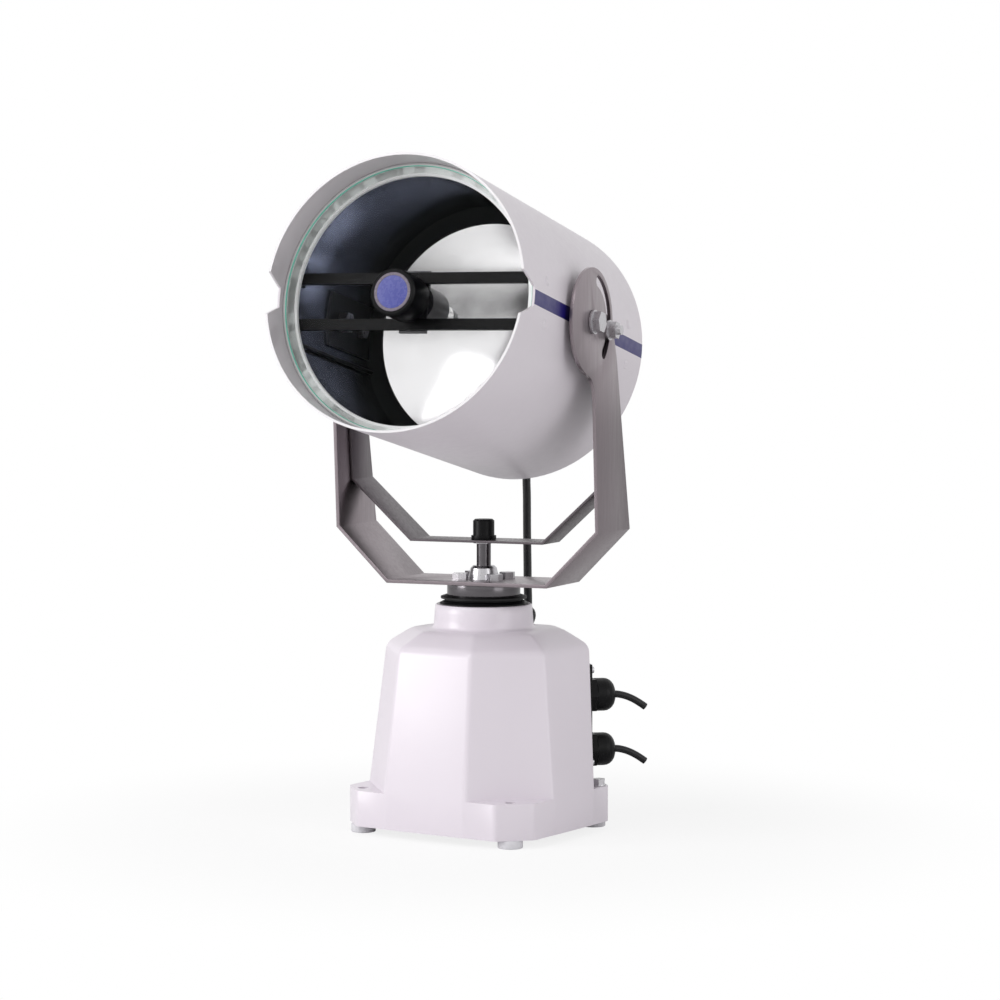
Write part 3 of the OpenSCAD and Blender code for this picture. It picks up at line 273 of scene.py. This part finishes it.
def drum_paint():
    """Satin grey outside with a blue stripe, the same grey darkened ahead of the glass as painted shade, a lighter
    front rim as a painted highlight, bare dark sheet behind the glass.
    """
    # The grey ahead of the glass is the outside grey darkened: painted shade. The lighter grey of the front rim is
    # a painted highlight.
    outside, hood_painted_shade, edge = (0.68, 0.635, 0.68), (0.6, 0.565, 0.59), (0.8, 0.78, 0.8)
    inside, stripe = (0.19, 0.205, 0.25), (0.01, 0.005, 0.12)
    finish = Finish("drum_satin_paint", outside, 0.38)
    y, z, radius = finish.optical()
    sheet = finish.math("GREATER_THAN", radius, SKIN_FROM)
    cover = finish.math("LESS_THAN", z, COVER_TO)
    skin = finish.math("MAXIMUM", sheet, cover)
    front = finish.math("GREATER_THAN", z, HOOD_FROM)
    rim = finish.math("GREATER_THAN", z, RIM_FROM)
    level = finish.math("LESS_THAN", finish.math("ABSOLUTE", y), STRIPE_HALF)
    behind = finish.math("LESS_THAN", z, STRIPE_FRONT)
    band = finish.math("MULTIPLY", sheet, finish.math("MULTIPLY", level, behind))
    drift = finish.noise(7, 4)
    grey = finish.mix(drift, scaled(outside, 0.97), scaled(outside, 1.03))
    striped = finish.mix(band, grey, stripe)
    # The front rim takes a lighter grey than the outside: a painted highlight.
    edged = finish.mix(rim, striped, edge)
    # Ahead of the glass the wall takes the darkened grey, painted shade, and its rim the lighter grey, a painted
    # highlight.
    lining = finish.mix(front, inside, finish.mix(rim, hood_painted_shade, edge))
    finish.colour(finish.mix(skin, lining, edged))
    dull = finish.remap(finish.noise(160, 3), 0.3, 0.7, 0.3, 0.42)
    gloss = finish.remap(finish.noise(60, 3), 0.3, 0.7, 0.16, 0.26)
    either = finish.add("ShaderNodeMix")
    finish.put(either.inputs["Factor"], skin)
    finish.put(either.inputs[2], gloss)
    finish.put(either.inputs[3], dull)
    finish.roughness(either.outputs[0])
    bare = finish.math("LESS_THAN", finish.math("MAXIMUM", skin, front), 0.5)
    finish.put(finish.shader.inputs["Metallic"], bare)
    finish.bump(finish.noise(420, 2), 0.05, 0.0002)
    return finish


def float_glass():
    """Clear glass whose ground edge is pale, with a green line at its front corner."""
    clear, pale, green = (0.02, 0.022, 0.021), (0.86, 0.88, 0.87), (0.05, 0.42, 0.3)
    finish = Finish("clear_front_glass", clear, 0.02)
    _, z, radius = finish.optical()
    edge = finish.math("GREATER_THAN", radius, GLASS_RADIUS - GLASS_GROUND_EDGE)
    corner = finish.math("GREATER_THAN", z, GLASS_FRONT - GLASS_GREEN_CORNER)
    finish.colour(finish.mix(edge, clear, finish.mix(corner, pale, green)))
    finish.put(finish.shader.inputs["Alpha"], finish.remap(edge, 0, 1, 0.03, 1))
    return finish


def retainer_sleeve():
    """Pale sleeve of the spring ring, with the glass's green showing along its inner side."""
    pale, green = (0.6, 0.6, 0.6), (0.18, 0.6, 0.46)
    finish = Finish("retainer_pale_sleeve", pale, 0.35)
    radius = finish.optical()[-1]
    line = finish.math("LESS_THAN", radius, RETAINER_LINE)
    drift = finish.noise(80, 3)
    plain = finish.mix(drift, scaled(pale, 0.95), scaled(pale, 1.05))
    finish.colour(finish.mix(line, plain, green))
    finish.roughness(finish.remap(drift, 0.3, 0.7, 0.3, 0.4))
    return finish


def disc_enamel():
    """Plain blue field inside a grey rim."""
    deep, light, grey = (0.055, 0.062, 0.27), (0.07, 0.08, 0.31), (0.16, 0.135, 0.17)
    finish = Finish("hub_disc_enamel", deep, 0.3)
    radius = finish.optical()[-1]
    rim = finish.math("GREATER_THAN", radius, DISC_FIELD)
    field = finish.mix(finish.noise(90, 3), deep, light)
    finish.colour(finish.mix(rim, field, grey))
    finish.roughness(finish.remap(finish.noise(300, 2), 0.3, 0.7, 0.2, 0.34))
    return finish


def mirror_polish():
    """Polished reflector with a slight haze."""
    finish = Finish("reflector_polish", (0.985, 0.98, 0.99), 0.06, metallic=1.0)
    haze = finish.noise(40, 4)
    finish.roughness(finish.remap(haze, 0.3, 0.7, 0.1, 0.15))
    return finish


def clear_bulb():
    """Clear quartz of the lamp."""
    finish = Finish("quartz_bulb", (0.97, 0.97, 0.96), 0.02)
    finish.shader.inputs["Transmission Weight"].default_value = 0.9
    finish.roughness(finish.remap(finish.noise(200, 2), 0.3, 0.7, 0.01, 0.06))
    return finish


FINISHES = {
    "base_paint": sprayed("base_gloss_enamel", (0.74, 0.685, 0.745), 0.3, 0.02),
    "foot_nylon": moulded("foot_white_nylon", (0.6, 0.59, 0.62), 0.45, 0.05),
    "black_rubber": moulded("seal_black_rubber", (0.003, 0.003, 0.0035), 0.5, 0.1, 0.25),
    "zinc_steel": brushed("fastener_steel", (0.5, 0.49, 0.51), 0.3, (900, 900, 120)),
    "gland_plastic": moulded("gland_black_nylon", (0.002, 0.002, 0.0025), 0.4, 0.06, 0.15),
    "cable_jacket": moulded("cable_black_jacket", (0.004, 0.004, 0.005), 0.42, 0.02, 0.3),
    "bearing_steel": brushed("bearing_ground_steel", (0.5, 0.5, 0.51), 0.25, (600, 600, 600)),
    "motor_grey": sprayed("motor_grey_paint", (0.16, 0.16, 0.17), 0.45, 0.05),
    "terminal_plastic": moulded("terminal_ivory", (0.62, 0.58, 0.47), 0.5, 0.06),
    "bronze": brushed("gear_bronze", (0.55, 0.38, 0.17), 0.35, (500, 500, 500)),
    # The rotor's polished steel has a very dark colour: a painted dark reflection of its surroundings.
    "rotor_chrome": brushed("rotor_steel_painted_dark_reflection", (0.13, 0.122, 0.13), 0.18, (300, 300, 2400), 0.05),
    "yoke_stainless": brushed("yoke_satin_stainless", (0.265, 0.228, 0.245), 0.34, (500, 500, 30)),
    # The inner yoke's stainless is the outer yoke's at about half the brightness: painted shade behind the outer
    # arm.
    "lifter_stainless": brushed("lifter_stainless_painted_shade", (0.13, 0.114, 0.124), 0.38, (500, 500, 30)),
    "drum_paint": drum_paint(),
    "seat_white": sprayed("seat_white_paint", (0.95, 0.95, 0.955), 0.35, 0.03),
    "seal_grey": sprayed("seal_white_silicone", (0.95, 0.96, 0.955), 0.4, 0.03),
    "retainer_sleeve": retainer_sleeve(),
    "front_glass": float_glass(),
    "bar_black": moulded("bar_black_anodise", (0.0015, 0.0015, 0.002), 0.34, 0.04, 0.12),
    "socket_dark": brushed("socket_dark_steel", (0.08, 0.08, 0.085), 0.35, (400, 400, 400)),
    "lamp_glass": clear_bulb(),
    "badge_blue": disc_enamel(),
    "reflector_mirror": mirror_polish(),
}

# Rivets are sprayed with the drum, and the spring ring has a sleeve
PAINTED_WITH = {"drum_rivets": "drum_paint", "glass_retainer": "retainer_sleeve"}


def dress_nodes():
    """Gives every CAD piece the finish of its slot."""
    for part in frame["record"]["subparts"]:
        mesh = nodes[part["node"]].data
        mesh.materials.clear()
        slot = PAINTED_WITH.get(part["node"], part["material_slot"])
        mesh.materials.append(FINISHES[slot].material)


dress_nodes()


# Edges of turned and sheet pieces, broken as they are on the real ones

EDGE_WIDTHS = {
    "mounting_feet": 0.8 * MM,
    "gland_plate": 0.5 * MM,
    "gland_bodies": 0.6 * MM,
    "yoke_bolts": 0.5 * MM,
    "pivot_bolts": 0.6 * MM,
    "guide_bolts": 0.6 * MM,
    "rotor_shaft": 0.6 * MM,
    "rod_cap": 0.6 * MM,
    "lamp_hub": 0.4 * MM,
    "lamp_bars": 0.5 * MM,
    "earth_stud": 0.4 * MM,
}


def break_edges(name, width):
    """Bevels the sharp edges of a CAD piece, whose mesh stays as it is."""
    piece = nodes[name]
    weld = piece.modifiers.new("joined", "WELD")
    weld.merge_threshold = SAME_CORNER
    edge = piece.modifiers.new("edge", "BEVEL")
    edge.width = width
    edge.segments = 3
    edge.limit_method = "ANGLE"
    edge.angle_limit = BROKEN_ANGLE
    edge.use_clamp_overlap = True


for piece_name, edge_width in EDGE_WIDTHS.items():
    break_edges(piece_name, edge_width)


def piece_from(shape, name, body, slot):
    """Object of a finished bmesh, on its body, with the finish of a slot."""
    mesh = bpy.data.meshes.new(name)
    shape.to_mesh(mesh)
    shape.free()
    mesh.shade_smooth()
    mesh.set_sharp_from_angle(angle=SMOOTH_ANGLE)
    mesh.materials.append(FINISHES[slot].material)
    piece = add_object(name, mesh)
    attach(piece, body)
    return piece


def joined_copy(node):
    """The CAD solid as one joined surface, its flat faces whole."""
    shape = bmesh.new()
    shape.from_mesh(nodes[node].data)
    bmesh.ops.remove_doubles(shape, verts=shape.verts, dist=SAME_POINT)
    bmesh.ops.dissolve_limit(
        shape, angle_limit=FLAT_ANGLE, verts=shape.verts, edges=shape.edges, delimit=set()
    )
    return shape


def round_off(shape, edges, width):
    bmesh.ops.bevel(
        shape, geom=edges, offset=width, offset_type="OFFSET", affect="EDGES", segments=3,
        profile=0.5, clamp_overlap=True, material=-1,
    )


def sharp_edges(shape, low):
    return [e for e in shape.edges if len(e.link_faces) == 2 and e.calc_face_angle(0) > low]


FLANGE_LEVELS = (7 * MM, 37.5 * MM)
LEVEL_PLAY = 0.1 * MM
OUTER_SHARE = 0.99
CORNER_REACH = 26.5 * MM
RIM_ROUND = 1.8 * MM


def base_casting():
    """Casting with the rounded rim of its flange."""
    shape = joined_copy("base_housing")
    wide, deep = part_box("base_housing")[1].xy

    def on_rim(edge):
        low, high = sorted(v.co.z for v in edge.verts)
        at_level = any(level - LEVEL_PLAY < low and high < level + LEVEL_PLAY for level in FLANGE_LEVELS)
        middle = (edge.verts[0].co + edge.verts[1].co) / 2
        outer = max(abs(middle.x) / wide, abs(middle.y) / deep) > OUTER_SHARE
        corner = abs(middle.x) + abs(middle.y) > wide + deep - CORNER_REACH
        return at_level and (outer or corner)

    round_off(shape, [e for e in sharp_edges(shape, CASTING_ANGLE) if on_rim(e)], RIM_ROUND)
    casting = piece_from(shape, "base_casting", "base", "base_paint")
    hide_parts("base_housing")


def yoke_strip(name, node, body, width, finish):
    """Yoke strip with the broken edges of cut sheet."""
    shape = joined_copy(node)
    round_off(shape, sharp_edges(shape, STRIP_ANGLE), width)
    strip = piece_from(shape, name, body, "yoke_stainless")
    strip.data.materials[0] = FINISHES[finish].material
    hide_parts(node)


def turned(profile):
    """Shape turned round the drum's axis from a profile of radius and place along the beam."""
    shape = bmesh.new()
    ring = [shape.verts.new((r, 0, z)) for r, z in profile]
    for a, b in zip(ring, ring[1:]):
        shape.edges.new((a, b))
    bmesh.ops.spin(
        shape, geom=[*shape.verts, *shape.edges], axis=(0, 0, 1), cent=(0, 0, 0),
        angle=math.tau, steps=TURN_STEPS, use_merge=True,
    )
    bmesh.ops.remove_doubles(shape, verts=shape.verts, dist=SAME_TURNED_POINT)
    bmesh.ops.recalc_face_normals(shape, faces=shape.faces)
    bmesh.ops.transform(shape, matrix=IN_DRUM, verts=shape.verts)
    return shape


def reflector_dish():
    """Polished dish on a true parabola."""
    vertex = REFLECTOR_RIM - REFLECTOR_RADIUS**2 / (4 * REFLECTOR_FOCUS)
    radii = [REFLECTOR_RADIUS * k / REFLECTOR_STEPS for k in range(REFLECTOR_STEPS + 1)]
    front = [(r, vertex + r * r / (4 * REFLECTOR_FOCUS)) for r in radii]
    back = [(r, z - REFLECTOR_SHEET) for r, z in reversed(front)]
    dish = piece_from(turned(front + back), "reflector_dish", "drum", "reflector_mirror")
    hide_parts("reflector")


def hub_disc():
    """Shallow domed disc with a raised rim, in the recess of the hub."""
    face = DRUM_FRONT
    seat, crest = face - DISC_THICKNESS, face + DISC_RIM_RISE
    side = DISC_RADIUS - DISC_GAP
    profile = [(0, seat), (side, seat), (side, face), (side - DISC_RIM_RISE, crest)]
    profile += [(DISC_FIELD + DISC_RIM_RISE, crest), (DISC_FIELD, face)]
    for step in range(1, DISC_DOME_STEPS + 1):
        share = 1 - step / DISC_DOME_STEPS
        profile.append((DISC_FIELD * share, face + DISC_DOME * (1 - share**2)))
    disc = piece_from(turned(profile), "hub_disc", "drum", "badge_blue")
    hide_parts("hub_badge")


base_casting()
yoke_strip("outer_yoke_strip", "outer_yoke", "yoke", 0.5 * MM, "yoke_stainless")
# The inner yoke gets the darkened stainless, painted shade.
yoke_strip("inner_yoke_strip", "inner_yoke", "lift", 0.4 * MM, "lifter_stainless")
reflector_dish()
hub_disc()


# Cables

TAIL_DIAMETER = 6.2 * MM
HEAD_CABLE_DIAMETER = 7.4 * MM
GLAND_LOW = 66 * MM
GLAND_HIGH = 113.5 * MM

# The routes of the CAD source, in millimetres
TAIL_ROUTE = [
    (78.52, 78.52, 0), (81.7, 81.7, 0), (84.88, 84.88, 0), (88.42, 88.42, -0.6), (92.66, 92.66, -2.3),
    (96.9, 96.9, -5), (100.79, 100.79, -8.3), (104.33, 104.33, -11.8),
]
ENTRY_ROUTE = [
    (-4, 77.8, 177.2), (-4, 83.4, 184.2), (-6.6, 88.4, 191), (-12.9, 97.6, 205.5), (-19.5, 107.6, 220),
    (-26.5, 118.1, 235), (-33.4, 128.5, 250), (-40, 138.6, 265),
]
HEAD_ROUTE = [
    (-40, 138.6, 265), (-46.6, 148.7, 280), (-52.7, 157.6, 294), (-56.8, 166.1, 306), (-60.6, 178, 321),
    (-62, 185.6, 339), (-59.9, 185, 356), (-55.4, 176.9, 369), (-50.6, 165.1, 376), (-46.2, 151.6, 378),
    (-43, 136.2, 380.3), (-40.2, 120.2, 383.3),
]
STEPS_BETWEEN = 4
TUBE_SIDES = 20


def smooth_route(points):
    """Points in metres on one smooth curve through the route."""
    route = [Vector(p) * MM for p in points]
    ends = [2 * route[0] - route[1], *route, 2 * route[-1] - route[-2]]
    result = []
    for a, b, c, d in zip(ends, ends[1:], ends[2:], ends[3:]):
        for step in range(STEPS_BETWEEN):
            t = step / STEPS_BETWEEN
            bow = (2 * a - 5 * b + 4 * c - d) * t**2 + (3 * b - a - 3 * c + d) * t**3
            result.append(0.5 * (2 * b + (c - a) * t + bow))
    return [*result, route[-1]]


def route_length(points):
    return sum((b - a).length for a, b in zip(points, points[1:]))


def cable_tube(name, points, diameter):
    """Tube mesh along a route, closed at both ends."""
    curve = bpy.data.curves.new(name, "CURVE")
    curve.dimensions = "3D"
    curve.bevel_depth = diameter / 2
    curve.bevel_resolution = TUBE_SIDES // 4
    curve.use_fill_caps = True
    spline = curve.splines.new("POLY")
    spline.points.add(len(points) - 1)
    for place, point in zip(spline.points, points):
        place.co = (*point, 1)
    holder = add_object(name, curve)
    state = bpy.context.evaluated_depsgraph_get()
    mesh = bpy.data.meshes.new_from_object(holder.evaluated_get(state))
    bpy.data.objects.remove(holder)
    mesh.name = name
    tube = add_object(name, mesh)
    for face in mesh.polygons:
        face.use_smooth = len(face.vertices) == 4
    mesh.materials.clear()
    mesh.materials.append(FINISHES["cable_jacket"].material)
    return tube


def cable_tail(name, node, height):
    """Short tail with a cut end, out of a gland on the base."""
    points = [p + Vector((0, 0, height)) for p in smooth_route(TAIL_ROUTE)]
    tail = cable_tube(name, points, TAIL_DIAMETER)
    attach(tail, "base")
    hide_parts(node)
    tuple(points[0])
    route_length(points)


cable_tail("supply_tail", "supply_cable", GLAND_HIGH)
cable_tail("control_tail", "control_cable", GLAND_LOW)


def round_section(diameter):
    """Nodes that give a line of edges its round section, so that it stays round when bent."""
    group = bpy.data.node_groups.new("round_section", "GeometryNodeTree")
    for end in ("INPUT", "OUTPUT"):
        group.interface.new_socket("Geometry", in_out=end, socket_type="NodeSocketGeometry")
    add, link = group.nodes.new, group.links.new
    tube, jacket = add("GeometryNodeCurveToMesh"), add("GeometryNodeSetMaterial")
    line, smooth = add("GeometryNodeMeshToCurve"), add("GeometryNodeSetShadeSmooth")
    chain = [add("NodeGroupInput"), line, tube, smooth, jacket, add("NodeGroupOutput")]
    for before, after in zip(chain, chain[1:]):
        link(before.outputs[0], after.inputs[0])
    circle = add("GeometryNodeCurvePrimitiveCircle")
    circle.inputs["Resolution"].default_value = TUBE_SIDES
    circle.inputs["Radius"].default_value = diameter / 2
    link(circle.outputs[0], tube.inputs["Profile Curve"])
    tube.inputs["Fill Caps"].default_value = True
    jacket.inputs["Material"].default_value = FINISHES["cable_jacket"].material
    return group


def bending_cable(name, points, section):
    """Cable as a line of edges under a live round section, for a length that a joint bends."""
    shape = bmesh.new()
    line = [shape.verts.new(p) for p in points]
    for a, b in zip(line, line[1:]):
        shape.edges.new((a, b))
    mesh = bpy.data.meshes.new(name)
    shape.to_mesh(mesh)
    shape.free()
    mesh.materials.append(FINISHES["cable_jacket"].material)
    cable = add_object(name, mesh)
    cable.modifiers.new("section", "NODES").node_group = section
    return cable


def head_cables():
    """Lower and upper lengths of the head cable; on the real lamp the lower twists with the pan and the upper
    bends with the tilt.
    """
    low = smooth_route(ENTRY_ROUTE)
    high = smooth_route(HEAD_ROUTE)
    section = round_section(HEAD_CABLE_DIAMETER)
    low_tube = bending_cable("head_cable_low", low, section)
    high_tube = bending_cable("head_cable_high", high, section)
    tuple(low[STEPS_BETWEEN])
    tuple(low[-1])
    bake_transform(low_tube)
    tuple(high[0])
    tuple(high[-STEPS_BETWEEN - 1])
    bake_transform(high_tube)
    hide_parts("entry_cable")
    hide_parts("head_cable")
    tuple(low[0])
    route_length(low)
    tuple(high[0])
    route_length(high)


head_cables()


LEAD_DIAMETER = 3.6 * MM
LEAD_ANGLE = math.radians(198)
LEAD_FRONT = 93 * MM
LEAD_BACK = -58 * MM
LEAD_GAP = 0.4 * MM


def lamp_lead():
    """Straight lead of the lamp along the drum's inner wall."""
    out = DRUM_INSIDE - LEAD_DIAMETER / 2 - LEAD_GAP
    across, up = out * math.cos(LEAD_ANGLE), out * math.sin(LEAD_ANGLE)
    ends = [IN_DRUM @ Vector((across, up, z)) for z in (LEAD_FRONT, LEAD_BACK)]
    lead = cable_tube("lamp_lead", ends, LEAD_DIAMETER)
    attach(lead, "drum")


lamp_lead()


# Studio

FLOOR_SIZE = 14
FLOOR_SHADOW_REACH = (0.2, 0.5)
FLOOR_WHITE = (0.82, 1)
WORLD_LIGHT = 0.51
MIDDLE = (0, 0, 0.3)


def studio_floor():
    """Pale floor that keeps the shadow near the base and runs out into the white behind it."""
    shape = bmesh.new()
    bmesh.ops.create_grid(shape, x_segments=1, y_segments=1, size=FLOOR_SIZE / 2)
    mesh = bpy.data.meshes.new("floor")
    shape.to_mesh(mesh)
    shape.free()
    floor = add_object("floor", mesh)
    pale, paler = (0.9, 0.9, 0.9), (0.92, 0.92, 0.92)
    finish = Finish("floor_pale", pale, 0.9, specular=0.0)
    finish.colour(finish.mix(finish.noise(3), pale, paler))
    reach = finish.add("ShaderNodeVectorMath", operation="LENGTH")
    finish.put(reach.inputs[0], finish.place)
    far = finish.add("ShaderNodeMapRange", interpolation_type="SMOOTHSTEP")
    finish.put(far.inputs["Value"], reach.outputs["Value"])
    far.inputs["From Min"].default_value, far.inputs["From Max"].default_value = FLOOR_SHADOW_REACH
    seen = finish.add("ShaderNodeLightPath")
    whiteness = finish.remap(far.outputs["Result"], 0, 1, *FLOOR_WHITE)
    share = finish.math("MULTIPLY", whiteness, seen.outputs["Is Camera Ray"])
    white = finish.add("ShaderNodeEmission")
    mixed = finish.add("ShaderNodeMixShader")
    finish.put(mixed.inputs[0], share)
    finish.put(mixed.inputs[1], finish.shader.outputs[0])
    finish.put(mixed.inputs[2], white.outputs[0])
    finish.put(finish.tree.nodes["Material Output"].inputs["Surface"], mixed.outputs[0])
    mesh.materials.append(finish.material)


def white_world():
    """White to the camera, in reflections and through glass; soft even light on the object."""
    world = bpy.data.worlds.new("studio")
    bpy.context.scene.world = world
    world.use_nodes = True
    tree = world.node_tree
    background = tree.nodes["Background"]
    background.inputs["Color"].default_value = (1, 1, 1, 1)
    path = tree.nodes.new("ShaderNodeLightPath")
    seen = path.outputs["Is Camera Ray"]
    for ray in ("Is Glossy Ray", "Is Transmission Ray"):
        either = tree.nodes.new("ShaderNodeMath")
        either.operation = "MAXIMUM"
        tree.links.new(seen, either.inputs[0])
        tree.links.new(path.outputs[ray], either.inputs[1])
        seen = either.outputs[0]
    strength = tree.nodes.new("ShaderNodeMapRange")
    strength.inputs["To Min"].default_value = WORLD_LIGHT
    strength.inputs["To Max"].default_value = 1.0
    tree.links.new(seen, strength.inputs["Value"])
    tree.links.new(strength.outputs["Result"], background.inputs["Strength"])


def soft_light(name, place, size, power):
    """Large soft lamp aimed at the middle of the object."""
    data = bpy.data.lights.new(name, "AREA")
    data.shape = "RECTANGLE"
    data.size, data.size_y = size
    data.energy = power
    light = add_object(name, data)
    light.location = place
    light.rotation_euler = (Vector(MIDDLE) - Vector(place)).to_track_quat("-Z", "Y").to_euler()


studio_floor()
white_world()
soft_light("key", (-2.9, -3.3, 1.3), (1.9, 1.9), 88)
soft_light("fill", (2.6, -0.4, 0.9), (1.4, 1.8), 15)
soft_light("top", (-0.6, -2.4, 2.6), (1.6, 1.6), 26)
bpy.context.scene.view_settings.view_transform = "Standard"
